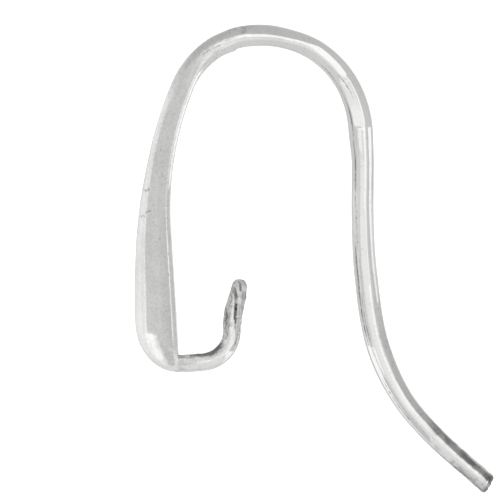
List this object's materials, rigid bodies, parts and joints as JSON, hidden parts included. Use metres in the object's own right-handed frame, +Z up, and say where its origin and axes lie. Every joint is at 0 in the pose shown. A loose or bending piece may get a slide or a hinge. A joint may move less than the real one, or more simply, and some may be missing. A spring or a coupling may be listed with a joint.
{
  "type": "ear wire",
  "caption": "Hook-shaped ear wire with a half-round teardrop front, an open pendant loop behind the drop's foot and a tail that curves away behind the ear.",
  "frame": {"origin": "centre of the underside of the bounding box, on the surface that the ear wire lies on", "axes": "+X from the drop towards the tail, +Y up the hook from the drop's foot to the crown, +Z up from the surface that it lies on, across the hook"},
  "size_m": [0.0152, 0.02, 0.003],
  "materials": {
    "silver": "polished silver, lightly brushed and tarnished"
  },
  "bodies": {
    "root": {"ear_wire": "silver"}
  },
  "joints": []
}
